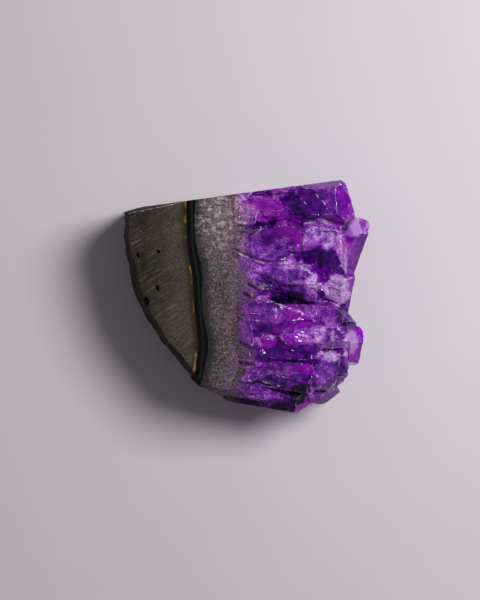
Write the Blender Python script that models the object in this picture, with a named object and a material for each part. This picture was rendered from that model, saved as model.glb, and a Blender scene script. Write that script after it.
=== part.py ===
"""Amethyst cluster: a chunk sawn out of the wall of a geode, lying on one saw cut.

The layers of the wall follow each other along +X: basalt, a thin dark rim, a grey quartz
band and the amethyst crystals that grew from it, whose points face +X. The upper face, the
underside and the back (+Y) are saw cuts. The left and the front are the natural, broken skin.
"""

import math
import random

import bmesh
import bpy
import numpy as np
from mathutils import Matrix, Vector, noise

# Driving dimensions, in millimetres. The drawing's own origin lies near the middle of the
# plan; the finished cluster is moved so that its origin is under the middle of its box.
MM = 0.001
HEIGHT = 27.0
NODE_GAP = 0.3
FACE_TILT = math.radians(1.0)
RIM_THICKNESS = 2.3
CRUST_THICKNESS = 2.6
MASS_REACH = 16.0
MASS_TOP = 27.0
MASS_SHOULDER = 20.0
WALL_LEAN = 0.10
REACH = 45.0
BLOCK_LENGTH = 66.0
BLOCK_SPARE = 4.0

# The back was cut twice. Both cuts pass this corner, and lean a little out towards the bottom.
BACK_CORNER = (-13.75, 23.6, HEIGHT)
BACK_OF_STONE = (-0.2075, 0.978, 0.076)
BACK_OF_CRYSTALS = (-0.1364, 0.9907, 0.045)

# Quartz crystals end in six faces whose normals stand 51.8 degrees off the crystal's axis.
POINT_FACE_ANGLE = math.radians(51.8)
ROOT_TAPER = 0.72

# Outline of the natural skin in plan, from the back left corner round the front to the crust.
SKIN_OUTLINE = [
    (-30.4, 33.0),
    (-30.3, 20.0),
    (-30.2, 15.0),
    (-29.4, 10.0),
    (-28.4, 4.0),
    (-26.5, -1.6),
    (-24.0, -6.6),
    (-21.0, -11.4),
    (-17.2, -15.8),
    (-14.0, -19.6),
    (-11.4, -23.0),
    (-7.0, -25.0),
    (-2.0, -26.2),
    (5.0, -27.6),
    (12.0, -27.2),
    (18.0, -24.4),
    (24.0, -18.0),
    (24.0, 33.0),
]
# How far the skin stands out of that outline at each height: narrow at both saw cuts.
SKIN_LEVELS = [
    (-2.0, -3.4),
    (4.0, -1.2),
    (10.0, 0.0),
    (16.0, -0.1),
    (22.0, -1.0),
    (27.0, -2.2),
    (31.0, -3.6),
]
LUMP_SIZE = 6.0
LUMP_DEPTH = 0.6
CHIP_SIZE = 2.2
CHIP_DEPTH = 0.35

# Where the basalt ends and where the crystals start, as (y, x) points on the upper face.
RIM_LINE = [
    (34, -14.2),
    (24, -14.0),
    (18, -14.0),
    (12, -13.8),
    (5, -12.6),
    (-1, -12.2),
    (-6, -11.8),
    (-12, -11.2),
    (-17, -11.7),
    (-24, -12.3),
    (-30, -12.6),
]
CRUST_LINE = [
    (34, -4.5),
    (24, -3.5),
    (19, -1.8),
    (13, -3.2),
    (5, -1.0),
    (-1, -2.2),
    (-8, -2.8),
    (-16, -1.2),
    (-22, -3.4),
    (-30, -4.0),
]

# Pits in the sawn basalt: x, y, half width, half length, depth.
PITS = [
    (-24.0, -1.3, 0.62, 1.25, 1.6),
    (-21.2, 2.0, 0.38, 0.8, 1.0),
    (-26.2, 10.2, 0.35, 0.8, 0.5),
    (-21.0, 11.0, 0.4, 0.5, 0.5),
]
PIT_TURN = math.radians(12)

# One line a crystal: name, root, tip, width over the corners, roll about its own axis, and the
# faces that bound it besides its own: a point of the face, the way it looks in plan, in degrees
# from +X, and its slope from level. A roll of 0 has an edge on top and a roll of 30 has a face.
CRYSTALS = [
    (
        "back_block",
        (0.0, 22.6, 17.6),
        (36.0, 23.4, 18.6),
        16.4,
        24,
        [
            (20.7, 22.5, 26.5, 188, 12),
            (20.7, 22.5, 26.5, 12, 40),
            (18.0, 19.3, 23.0, 254, 66),
            (27.4, 22.8, 20.6, 18, 118),
            (26.5, 18.9, 22.0, 312, 68),
        ],
    ),
    ("back_strip", (-4.0, 25.4, 22.8), (16.0, 26.8, 22.0), 7.0, 10, []),
    ("back_left", (-5.0, 21.8, 23.8), (12.6, 20.8, 23.2), 9.2, 6, [(4.0, 21.4, 26.6, 262, 12)]),
    (
        "second_left",
        (-7.0, 13.2, 24.0),
        (18.4, 12.6, 23.6),
        12.6,
        12,
        [(5.0, 13.0, 26.8, 250, 5), (6.7, 15.4, 25.8, 300, 32)],
    ),
    (
        "second_right",
        (2.0, 11.4, 16.6),
        (34.0, 11.2, 17.6),
        16.6,
        0,
        [
            (20.0, 12.2, 24.9, 92, 14),
            (20.0, 12.2, 24.9, 272, 36),
            (25.0, 12.0, 20.0, 6, 66),
            (26.2, 11.6, 16.4, 352, 112),
            (25.8, 15.6, 17.6, 48, 84),
        ],
    ),
    ("back_lens", (6.0, 17.8, 18.0), (27.6, 17.6, 19.8), 7.8, 26, [(24.8, 18.0, 19.0, 30, 60)]),
    (
        "deep_back",
        (22.2, -1.0, 3.6),
        (28.7, 21.4, 16.6),
        10.6,
        14,
        [(27.6, 20.0, 16.0, 78, 84), (26.2, 3.4, 9.0, 278, 88)],
    ),
    (
        "third",
        (-6.0, 4.2, 23.6),
        (23.4, 3.4, 21.8),
        12.4,
        10,
        [
            (6.0, 4.0, 26.9, 90, 4),
            (13.0, 0.4, 25.6, 244, 42),
            (16.0, 5.8, 25.8, 52, 26),
            (20.0, 3.0, 23.0, 20, 66),
        ],
    ),
    ("middle_pale", (22.6, -7.0, 9.6), (24.3, 9.0, 21.6), 10.4, 18, [(24.0, 5.6, 19.4, 84, 66)]),
    ("fourth_left", (-6.0, -4.4, 23.6), (17.4, -6.2, 23.2), 10.6, 4, [(6.0, -3.2, 26.5, 64, 18)]),
    ("fourth_right", (4.0, -4.8, 18.6), (28.2, -7.0, 19.6), 12.6, 16, [(20.0, -4.0, 24.6, 40, 16)]),
    ("top_prism", (26.0, -9.4, 20.6), (6.4, -10.2, 22.6), 9.8, 28, []),
    ("deep_front", (25.6, -22.0, 6.4), (27.4, -6.6, 14.8), 9.2, 8, [(26.0, -16.9, 12.0, 268, 82)]),
    ("fifth", (-6.0, -13.8, 22.2), (21.6, -15.2, 20.6), 10.4, 14, []),
    ("sixth_left", (-6.0, -18.4, 23.2), (20.6, -21.0, 22.4), 9.8, 2, [(6.0, -18.6, 26.2, 80, 10)]),
    (
        "sixth_right",
        (4.0, -18.0, 17.4),
        (33.0, -18.8, 18.4),
        13.4,
        26,
        [
            (20.0, -18.4, 24.6, 262, 8),
            (21.0, -16.4, 24.4, 70, 34),
            (23.8, -18.4, 22.6, 350, 56),
            (26.2, -18.0, 17.6, 10, 110),
            (24.6, -21.4, 18.0, 310, 78),
        ],
    ),
    ("front_left", (-6.0, -22.4, 18.4), (17.8, -25.4, 17.6), 11.0, 8, []),
    ("front_right", (4.0, -21.4, 12.8), (24.4, -24.0, 13.4), 9.4, 26, []),
    ("mid_back", (0.0, 25.0, 11.0), (26.2, 26.2, 10.6), 12.0, 16, []),
    ("mid_second", (0.0, 16.6, 8.0), (27.4, 18.4, 5.8), 11.6, 2, []),
    ("mid_third", (0.0, 9.0, 8.8), (27.2, 8.2, 7.2), 12.0, 24, []),
    ("mid_fourth", (0.0, 0.8, 7.6), (25.2, 1.2, 8.6), 11.6, 12, []),
    ("mid_fifth", (0.0, -6.4, 9.6), (25.6, -5.4, 11.6), 11.4, 28, []),
    ("mid_sixth", (0.0, -14.0, 8.0), (27.4, -13.8, 5.4), 12.0, 6, []),
    ("mid_front", (0.0, -19.8, 8.6), (23.4, -19.6, 8.0), 12.0, 18, []),
    ("low_back", (0.0, 24.0, 3.4), (23.6, 24.6, 3.2), 11.4, 8, []),
    ("low_second", (0.0, 12.6, 2.8), (24.8, 13.0, 2.0), 12.0, 20, []),
    ("low_third", (0.0, 4.0, 1.8), (23.4, 5.4, 2.0), 11.0, 0, []),
    ("low_fourth", (0.0, -3.6, 2.6), (24.2, -3.8, 2.4), 11.6, 26, []),
    ("low_fifth", (0.0, -11.0, 2.2), (22.8, -9.8, 2.8), 10.8, 14, []),
    ("low_sixth", (0.0, -16.8, 2.8), (21.6, -16.2, 2.4), 12.4, 4, []),
    ("low_front", (-4.0, -21.4, 5.0), (18.4, -23.4, 4.8), 10.8, 22, []),
]
# Little crystals that fill the hollows of the druse, set out in rows between the large ones.
FILLER_ROWS = [
    (20.5, 5.0),
    (12.6, 13.4),
    (5.6, 5.6),
    (-2.4, 12.8),
    (-10.0, 5.0),
    (-17.0, 12.0),
    (-22.6, 6.0),
]
FILLER_WIDTH = (4.4, 6.2)
FILLER_TIP_X = (22.0, 25.0)

# Colour (as light, not as sRGB), roughness.
MATERIALS = {
    "basalt": ((0.060, 0.050, 0.038), 0.85),
    "dark_rim": ((0.012, 0.016, 0.014), 0.55),
    "grey_quartz": ((0.26, 0.22, 0.22), 0.6),
    "amethyst": ((0.16, 0.03, 0.34), 0.2),
}
CHANCE = random.Random(7)
SHOP = ("tools", "layers", "crystals")


def clear_scene():
    for obj in list(bpy.data.objects):
        bpy.data.objects.remove(obj)


def new_collection(name):
    collection = bpy.data.collections.new(name)
    bpy.context.scene.collection.children.link(collection)
    return collection


def as_object(bm, name, collection):
    """Turns a bmesh drawn in millimetres into an object in metres."""
    bmesh.ops.recalc_face_normals(bm, faces=bm.faces)
    bm.transform(Matrix.Scale(MM, 4))
    mesh = bpy.data.meshes.new(name)
    bm.to_mesh(mesh)
    bm.free()
    obj = bpy.data.objects.new(name, mesh)
    collection.objects.link(obj)
    return obj


def smooth_read(points, at):
    """Height of a smooth curve through (position, height) points, at a position."""
    ordered = sorted(points)
    where = np.array([p[0] for p in ordered], float)
    height = np.array([p[1] for p in ordered], float)
    slope = np.gradient(height, where)
    k = int(np.clip(np.searchsorted(where, at) - 1, 0, len(where) - 2))
    span = where[k + 1] - where[k]
    t = float(np.clip((at - where[k]) / span, 0, 1))
    blend = t * t * (3 - 2 * t)
    bend = t * (1 - t) * ((1 - t) * slope[k] - t * slope[k + 1]) * span
    return height[k] * (1 - blend) + height[k + 1] * blend + bend


def lean(z):
    """The geode's wall is curved, so every layer runs a little to the left as it goes down."""
    return WALL_LEAN * (z - HEIGHT)


def rim_left(y, z):
    return smooth_read(RIM_LINE, y) + lean(z)


def rim_right(y, z):
    return rim_left(y, z) + RIM_THICKNESS + 0.35 * math.sin(0.31 * y + 0.2 * z)


def crust_left(y, z):
    return smooth_read(CRUST_LINE, y) + lean(z) + 0.8 * math.sin(0.55 * z + 0.35 * y)


def mass_right(y, z):
    """Where the crystals part from each other: the grown-together mass sinks away towards +X."""
    fall = min(max((MASS_TOP - z) / (MASS_TOP - MASS_SHOULDER), 0), 1) ** 0.85
    bumps = 1.4 * math.sin(0.9 * y + 0.5 * z) + 1.0 * math.sin(0.5 * y - 0.8 * z + 1)
    start = crust_left(y, z) + CRUST_THICKNESS + 1.3 * math.sin(0.62 * y + 1.2)
    return start + fall * (MASS_REACH + bumps)


def edges_along(bm, axis):
    def runs(edge):
        way = edge.verts[1].co - edge.verts[0].co
        return abs(way[axis]) > 0.99 * way.length

    return [edge for edge in bm.edges if runs(edge)]


def layer_block(name, left, right, cuts_y, cuts_z, collection):
    """A closed block that fills the space between two curved layer boundaries."""
    bm = bmesh.new()
    bmesh.ops.create_cube(bm, size=1)
    bmesh.ops.subdivide_edges(bm, edges=edges_along(bm, 1), cuts=cuts_y)
    bmesh.ops.subdivide_edges(bm, edges=edges_along(bm, 2), cuts=cuts_z)
    for vert in bm.verts:
        y = BLOCK_LENGTH * vert.co.y
        z = (HEIGHT + 2 * BLOCK_SPARE) * vert.co.z + HEIGHT / 2
        side = left if vert.co.x < 0 else right
        vert.co = (side(y, z), y, z)
    bmesh.ops.triangulate(bm, faces=bm.faces, quad_method="SHORT_EDGE")
    return as_object(bm, name, collection)


def saw_block(collection):
    """What the saw left standing: a block with flat faces above, below and behind."""
    bm = bmesh.new()
    bmesh.ops.create_cube(bm, size=2 * REACH, matrix=Matrix.Translation((0, 0, REACH)))
    upward = (-math.sin(FACE_TILT), 0, math.cos(FACE_TILT))
    slice_off(bm, (0, 0, HEIGHT), upward)
    for normal in (BACK_OF_STONE, BACK_OF_CRYSTALS):
        slice_off(bm, BACK_CORNER, normal)
    return as_object(bm, "saw_block", collection)


def slice_off(bm, point, normal):
    """Cuts a convex shape by a plane, drops what lies outside and closes the cut."""
    cut = bmesh.ops.bisect_plane(
        bm,
        geom=bm.verts[:] + bm.edges[:] + bm.faces[:],
        dist=1e-6,
        plane_co=point,
        plane_no=normal,
        clear_outer=True,
    )
    edges = [e for e in cut["geom_cut"] if isinstance(e, bmesh.types.BMEdge)]
    if len(edges) > 2:
        bmesh.ops.contextual_create(bm, geom=edges)


def ring(bm, points):
    verts = [bm.verts.new(p) for p in points]
    return [bm.edges.new(pair) for pair in zip(verts, verts[1:] + verts[:1])]


def outward(points, k):
    before = Vector(points[k - 1])
    after = Vector(points[(k + 1) % len(points)])
    way = (after - before).normalized()
    return Vector((way.y, -way.x))


def skin_lump(collection):
    """The stone before sawing: its natural skin, bulging between the two faces."""
    bm = bmesh.new()
    rings = []
    for z, stand_out in SKIN_LEVELS:
        points = [
            (*(Vector(p) + stand_out * outward(SKIN_OUTLINE, k)), z) for k, p in enumerate(SKIN_OUTLINE)
        ]
        rings.append(ring(bm, points))
    for low, high in zip(rings, rings[1:]):
        bmesh.ops.bridge_loops(bm, edges=low + high)
    for end in (rings[0], rings[-1]):
        bmesh.ops.contextual_create(bm, geom=end)
    walls = [e for e in bm.edges if e.is_manifold]
    bmesh.ops.subdivide_edges(bm, edges=walls, cuts=2, use_grid_fill=True)
    bmesh.ops.triangulate(bm, faces=bm.faces)
    bm.normal_update()
    roughened = [(v, v.co + v.normal * roughness_at(v.co)) for v in bm.verts]
    for vert, place in roughened:
        vert.co = place
    return as_object(bm, "skin_lump", collection)


def roughness_at(point):
    lumps = noise.noise(point / LUMP_SIZE) * LUMP_DEPTH
    chips = noise.noise(point / CHIP_SIZE + Vector((9, 4, 2))) * CHIP_DEPTH
    return lumps + chips


def boolean(obj, operation, other):
    """Joins, cuts or intersects obj with another object, and keeps the result as its mesh."""
    modifier = obj.modifiers.new(operation.lower(), "BOOLEAN")
    modifier.operation = operation
    modifier.solver = "EXACT"
    modifier.object = other
    bpy.context.view_layer.update()
    graph = bpy.context.evaluated_depsgraph_get()
    result = bpy.data.meshes.new_from_object(obj.evaluated_get(graph))
    obj.modifiers.clear()
    old = obj.data
    obj.data = result
    bpy.data.meshes.remove(old)


def pit(place, collection):
    """A small hollow left by a gas bubble, as an ellipsoid that reaches over the face."""
    x, y, half_width, half_length, depth = place
    bm = bmesh.new()
    bmesh.ops.create_icosphere(bm, subdivisions=2, radius=1)
    bm.transform(Matrix.Diagonal((half_width, half_length, depth, 1)))
    bm.transform(Matrix.Rotation(PIT_TURN, 4, "Z"))
    bm.transform(Matrix.Translation((x, y, HEIGHT + x * math.tan(FACE_TILT))))
    return as_object(bm, "pit", collection)


def looking(azimuth, slope):
    """Normal of a face that looks that way in plan and slopes that far from level."""
    azimuth = math.radians(azimuth)
    slope = math.radians(slope)
    level = Vector((math.cos(azimuth), math.sin(azimuth), 0))
    return level * math.sin(slope) + Vector((0, 0, math.cos(slope)))


def crystal(name, root, tip, width, roll, faces, collection):
    """A six-sided crystal from root to tip, thinner at its root, ending in six point faces."""
    chance = random.Random(name)
    root, tip = Vector(root), Vector(tip)
    length = (tip - root).length
    bm = bmesh.new()
    bmesh.ops.create_cone(
        bm,
        cap_ends=True,
        segments=6,
        radius1=ROOT_TAPER * width / 2,
        radius2=width / 2,
        depth=length + width,
        matrix=Matrix.Translation((0, 0, (length + width) / 2)),
    )
    flatten = chance.uniform(0.86, 1.0)
    bm.transform(Matrix.Diagonal((1, flatten, 1, 1)))
    for k in range(6):
        turn = math.radians(60 * k) + chance.uniform(-0.05, 0.05)
        side = Vector((math.cos(turn), math.sin(turn), 0))
        normal = side * math.sin(POINT_FACE_ANGLE) + Vector((0, 0, math.cos(POINT_FACE_ANGLE)))
        stand_off = chance.uniform(0.0, 0.05) + 0.09 * (k % 2)
        slice_off(bm, Vector((0, 0, length)) + normal * stand_off * width, normal)
    placed = Matrix.Translation(root) @ (tip - root).to_track_quat("Z", "Y").to_matrix().to_4x4()
    bm.transform(placed @ Matrix.Rotation(math.radians(roll), 4, "Z"))
    for x, y, z, azimuth, slope in faces:
        slice_off(bm, Vector((x, y, z)), looking(azimuth, slope))
    return as_object(bm, "crystal_" + name, collection)


def filler_crystals(collection):
    for n, (y, z) in enumerate(FILLER_ROWS):
        for step in (-1, 1):
            centre = Vector((0, y + 1.2 * step, z + 3.4 * step))
            tip_x = CHANCE.uniform(*FILLER_TIP_X)
            swing = Vector((0, CHANCE.uniform(-2.5, 2.5), CHANCE.uniform(-2.5, 2.5)))
            root = centre + Vector((6.0, 0, 0))
            tip = centre + Vector((tip_x, 0, 0)) + swing
            width = CHANCE.uniform(*FILLER_WIDTH)
            crystal(f"filler_{n}_{step}", root, tip, width, CHANCE.uniform(0, 60), [], collection)


def keep_largest_body(obj):
    """Drops any crumb that a cut has parted from the solid."""
    bm = bmesh.new()
    bm.from_mesh(obj.data)
    bodies = []
    left = set(bm.verts)
    while left:
        body, edge_of_search = set(), [left.pop()]
        while edge_of_search:
            vert = edge_of_search.pop()
            body.add(vert)
            near = {e.other_vert(vert) for e in vert.link_edges} & left
            left -= near
            edge_of_search.extend(near)
        bodies.append(body)
    crumbs = sorted(bodies, key=len)[:-1]
    bmesh.ops.delete(bm, geom=[v for body in crumbs for v in body], context="VERTS")
    bm.to_mesh(obj.data)
    bm.free()


def material(slot):
    colour, roughness = MATERIALS[slot]
    made = bpy.data.materials.new(slot)
    made.use_nodes = True
    shader = made.node_tree.nodes["Principled BSDF"]
    shader.inputs["Base Color"].default_value = (*colour, 1)
    shader.inputs["Roughness"].default_value = roughness
    made.diffuse_color = (*colour, 1)
    return made


def finish_node(obj, name, slot, cluster):
    """Names the solid, gives it its material and moves it into the cluster's collection."""
    keep_largest_body(obj)
    obj.name = name
    obj.data.name = name
    obj.data.materials.clear()
    obj.data.materials.append(material(slot))
    for collection in list(obj.users_collection):
        collection.objects.unlink(obj)
    cluster.objects.link(obj)
    return obj


def stone_layer(name, slot, left, right, cuts_y, shop, cluster):
    """One layer of the wall: the sawn, natural-skinned stone between two boundaries."""
    layer = layer_block(name + "_block", left, right, cuts_y, 9, shop["layers"])
    boolean(layer, "INTERSECT", shop["skin"])
    boolean(layer, "INTERSECT", shop["saw"])
    return finish_node(layer, name, slot, cluster)


def basalt(shop, cluster):
    def far_left(y, z):
        return -REACH

    def right(y, z):
        return rim_left(y, z) - NODE_GAP / 2

    stone = stone_layer("basalt_matrix", "basalt", far_left, right, 23, shop, cluster)
    for place in PITS:
        boolean(stone, "DIFFERENCE", pit(place, shop["tools"]))
    return stone


def rim(shop, cluster):
    def left(y, z):
        return rim_left(y, z) + NODE_GAP / 2

    def right(y, z):
        return rim_right(y, z) - NODE_GAP / 2

    return stone_layer("dark_rim", "dark_rim", left, right, 23, shop, cluster)


def quartz_band(shop, cluster):
    def left(y, z):
        return rim_right(y, z) + NODE_GAP / 2

    def right(y, z):
        return crust_left(y, z) - NODE_GAP / 2

    return stone_layer("quartz_band", "grey_quartz", left, right, 31, shop, cluster)


def amethyst(shop, cluster):
    """The crust and the crystals on it, fused, and cut by the quartz they stand on and by the saw."""

    def left(y, z):
        return crust_left(y, z) + NODE_GAP / 2

    def behind(y, z):
        return left(y, z) - 2

    def far_right(y, z):
        return REACH

    crust = layer_block("crust", behind, mass_right, 31, 12, shop["layers"])
    boolean(crust, "INTERSECT", shop["skin"])
    for name, root, tip, width, roll, faces in CRYSTALS:
        crystal(name, root, tip, width, roll, faces, shop["crystals"])
    filler_crystals(shop["crystals"])
    for grown in list(shop["crystals"].objects):
        boolean(crust, "UNION", grown)
    bound = layer_block("crystal_side", left, far_right, 31, 9, shop["tools"])
    boolean(crust, "INTERSECT", bound)
    boolean(crust, "INTERSECT", shop["saw"])
    return finish_node(crust, "amethyst_crystals", "amethyst", cluster)


def settle(nodes):
    """Moves the cluster so that its origin lies under the middle of its box, on the surface."""
    corners = np.array([v.co for obj in nodes for v in obj.data.vertices])
    low, high = corners.min(0), corners.max(0)
    shift = Vector((-(low[0] + high[0]) / 2, -(low[1] + high[1]) / 2, -low[2]))
    for obj in nodes:
        obj.data.transform(Matrix.Translation(shift))
    size = (high - low) / MM
    print("size in mm:", np.round(size, 2), "plan origin now at", [round(v / MM, 3) for v in shift])


def main():
    clear_scene()
    cluster = new_collection("amethyst_cluster")
    shop = {name: new_collection(name) for name in SHOP}
    shop["skin"] = skin_lump(shop["tools"])
    shop["saw"] = saw_block(shop["tools"])
    nodes = [
        basalt(shop, cluster),
        rim(shop, cluster),
        quartz_band(shop, cluster),
        amethyst(shop, cluster),
    ]
    for name in SHOP:
        for obj in list(shop[name].objects):
            bpy.data.objects.remove(obj)
        bpy.data.collections.remove(shop[name])
    settle(nodes)
    for obj in nodes:
        print(obj.name, "faces:", len(obj.data.polygons))


main()
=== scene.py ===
# %% [markdown]
# # An amethyst cluster, cell by cell
# The real object is a chunk sawn out of the wall of a geode. From left to right it shows the
# basalt that held the hollow, a thin dark rim, a band of grey quartz and the purple crystals
# that grew into the hollow. The frame gives four plain solids with the right sizes. Each cell
# below turns one of them into a natural surface, or makes one finish.

# %% Load the frame
import math
import random

import bmesh
import bpy
from mathutils import Matrix, Vector, noise
from mathutils.bvhtree import BVHTree


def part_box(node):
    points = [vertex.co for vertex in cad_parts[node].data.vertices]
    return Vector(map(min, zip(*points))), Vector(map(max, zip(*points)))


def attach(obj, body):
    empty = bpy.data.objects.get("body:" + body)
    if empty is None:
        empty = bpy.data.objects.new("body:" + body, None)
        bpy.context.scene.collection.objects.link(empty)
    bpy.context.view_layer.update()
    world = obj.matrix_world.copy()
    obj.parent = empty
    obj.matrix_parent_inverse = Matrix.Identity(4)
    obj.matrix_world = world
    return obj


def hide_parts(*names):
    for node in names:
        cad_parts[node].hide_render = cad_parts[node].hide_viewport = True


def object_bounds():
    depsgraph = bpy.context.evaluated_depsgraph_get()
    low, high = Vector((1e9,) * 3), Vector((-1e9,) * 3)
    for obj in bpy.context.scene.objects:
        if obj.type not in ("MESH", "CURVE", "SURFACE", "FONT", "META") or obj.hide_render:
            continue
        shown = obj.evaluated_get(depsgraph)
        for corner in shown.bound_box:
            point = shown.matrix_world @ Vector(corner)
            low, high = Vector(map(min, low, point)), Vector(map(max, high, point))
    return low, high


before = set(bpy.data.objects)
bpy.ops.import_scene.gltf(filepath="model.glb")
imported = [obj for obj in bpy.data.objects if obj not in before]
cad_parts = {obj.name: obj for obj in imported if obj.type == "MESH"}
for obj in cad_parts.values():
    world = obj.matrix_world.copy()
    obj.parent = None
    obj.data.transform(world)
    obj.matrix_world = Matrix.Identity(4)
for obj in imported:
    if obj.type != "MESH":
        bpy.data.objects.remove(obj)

cad_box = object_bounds()
MM = 0.001

# Blender's vector noise starts from the clock unless it gets a seed of its own.
NOISE_SEED = 7
noise.seed_set(NOISE_SEED)
print("frame nodes:", sorted(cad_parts))
print("box in mm:", [[round(v / MM, 2) for v in corner] for corner in cad_box])

# %% [markdown]
# ## The drawing's own origin
# The solids were drawn on a plan whose origin lies near the middle of the photograph, with
# one millimetre to four of its pixels. The frame's origin is under the middle of the box
# instead, so places on that plan are moved by one fixed step.

# %% Places on the plan
PLAN_SHIFT = Vector((-0.775, -0.088, 0.0))


def on_plan(x, y, z):
    """A place given in millimetres on the plan, as a place in the frame."""
    return (Vector((x, y, z)) + PLAN_SHIFT) * MM


def to_plan(place):
    """A place in the frame, in millimetres on the plan."""
    return place / MM - PLAN_SHIFT


print("plan origin sits at", on_plan(0, 0, 0))

# %% [markdown]
# ## Camera
# The photograph looks straight down on the chunk from a good distance, so the camera stands
# high above it with a long lens. A flat view without perspective could do too, but it would
# hide the little that the sides of the high crystals show. The picture is 480 by 600 pixels
# and shows 120 by 150 mm at the height of the crystals. The sensor's 36 mm lie along its
# longer side.

# %% Camera above the chunk
CAMERA_REACH = 0.60
SEEN_HEIGHT = 0.150
SENSOR = 36.0
VIEW_MIDDLE = (-0.75, -1.0)
VIEW_LEVEL = 22.0
camera_data = bpy.data.cameras.new("camera")
camera_data.lens = SENSOR * CAMERA_REACH / SEEN_HEIGHT
camera = bpy.data.objects.new("camera", camera_data)
camera.location = on_plan(*VIEW_MIDDLE, VIEW_LEVEL) + Vector((0, 0, CAMERA_REACH))
bpy.context.scene.collection.objects.link(camera)
bpy.context.scene.camera = camera
print("lens in mm:", round(camera_data.lens, 1))

# %% [markdown]
# ## Light
# The shadow falls to the left and a little to the front, and is soft, so the key light is a
# wide one, to the right, a little behind, and some 60 degrees high. A weak even sky fills
# the shadows.

# %% Key light and sky
KEY_PLACE = Vector((0.22, 0.12, 0.37))
KEY_WIDTH = 0.20
KEY_POWER = 1.93
SKY_TINT = (0.80, 0.76, 0.82, 1)
SKY_STRENGTH = 0.20
key_data = bpy.data.lights.new("key", "AREA")
key_data.shape = "DISK"
key_data.size = KEY_WIDTH
key_data.energy = KEY_POWER
key = bpy.data.objects.new("key", key_data)
key.location = KEY_PLACE
key.rotation_euler = (-KEY_PLACE).to_track_quat("-Z", "Y").to_euler()
bpy.context.scene.collection.objects.link(key)

sky = bpy.data.worlds.new("sky")
sky.use_nodes = True
sky_light = sky.node_tree.nodes["Background"]
sky_light.inputs["Color"].default_value = SKY_TINT
sky_light.inputs["Strength"].default_value = SKY_STRENGTH
bpy.context.scene.world = sky
bpy.context.scene.view_settings.view_transform = "Standard"
print("key light stands", round(KEY_PLACE.length, 3), "m away")

# %% [markdown]
# ## Writing a finish
# A finish is a tree of nodes. Written as nodes it is long and hard to read, so a socket is
# wrapped in a small class whose operators add the Math nodes: `1 - mask * 0.5` then reads as
# it would on paper. Colours are never put through a Math node, because it would turn them
# grey; they go through a Mix node instead.

# %% A socket that can be calculated with
class Field:
    """A number, vector or colour that varies over a surface."""

    def __init__(self, finish, socket):
        self.finish = finish
        self.socket = socket

    def maths(self, operation, *values):
        return self.finish.node("ShaderNodeMath", {"operation": operation}, dict(enumerate(values)))

    def __add__(self, other):
        return self.maths("ADD", self, other)

    def __sub__(self, other):
        return self.maths("SUBTRACT", self, other)

    def __rsub__(self, other):
        return self.maths("SUBTRACT", other, self)

    def __mul__(self, other):
        return self.maths("MULTIPLY", self, other)

    __radd__ = __add__
    __rmul__ = __mul__

    def span(self, low, high, start=0.0, end=1.0):
        """Runs smoothly from start to end while this value goes from low to high."""
        settings = {"interpolation_type": "SMOOTHSTEP", "clamp": True}
        sockets = {0: self, 1: low, 2: high, 3: start, 4: end}
        return self.finish.node("ShaderNodeMapRange", settings, sockets)


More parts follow.
